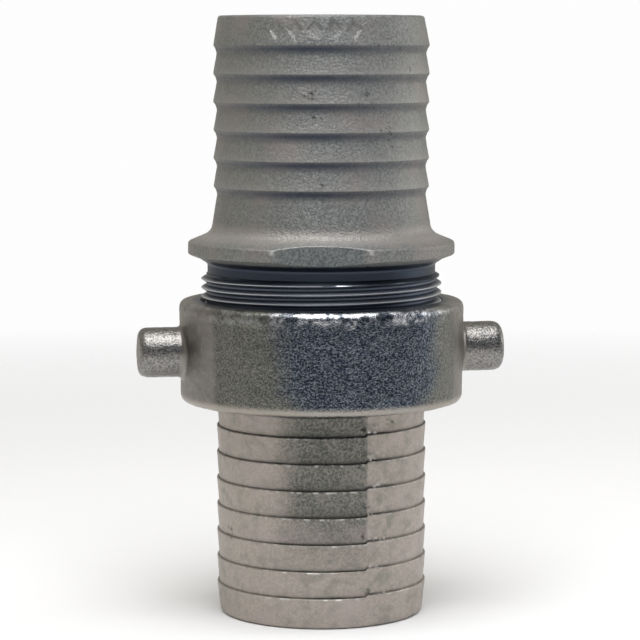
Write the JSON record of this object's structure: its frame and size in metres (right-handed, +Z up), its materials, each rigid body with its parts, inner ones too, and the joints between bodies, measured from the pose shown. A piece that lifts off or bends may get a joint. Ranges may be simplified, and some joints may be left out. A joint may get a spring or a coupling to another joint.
{
  "type": "hose coupling",
  "caption": "Threaded hose coupling: male hose shank screwed into a swivel nut with opposed pin lugs on a serrated hose tailpiece, sealed by a flat washer.",
  "frame": {"origin": "centre of the tailpiece's hose end, on the face it stands on", "axes": "+Z up along the flow axis, from the tailpiece to the male shank; +X along the right-hand lug"},
  "size_m": [0.0918, 0.0708, 0.1484],
  "materials": {
    "shank_iron": "as-cast iron, zinc plated, matt grey",
    "nut_iron": "as-cast iron, bright zinc plated, bluish grey",
    "washer_rubber": "matt black"
  },
  "bodies": {
    "tailpiece": {"female_shank": "shank_iron", "gasket": "washer_rubber"},
    "nut": {"swivel_nut": "nut_iron"},
    "male": {"male_shank": "shank_iron"}
  },
  "joints": [
    {"name": "nut_turn", "type": "hinge", "parent": "tailpiece", "child": "nut", "pos_m": [0, 0, 0.0657], "axis": [0, 0, -1], "range_deg": [0, 1800]},
    {"name": "male_draw", "type": "slide", "parent": "tailpiece", "child": "male", "axis": [0, 0, 1], "range_m": [0, 0.01104]}
  ],
  "couplings": [
    {"joint": "male_draw", "follows": "nut_turn", "m_per_rad": 0.00035152}
  ]
}
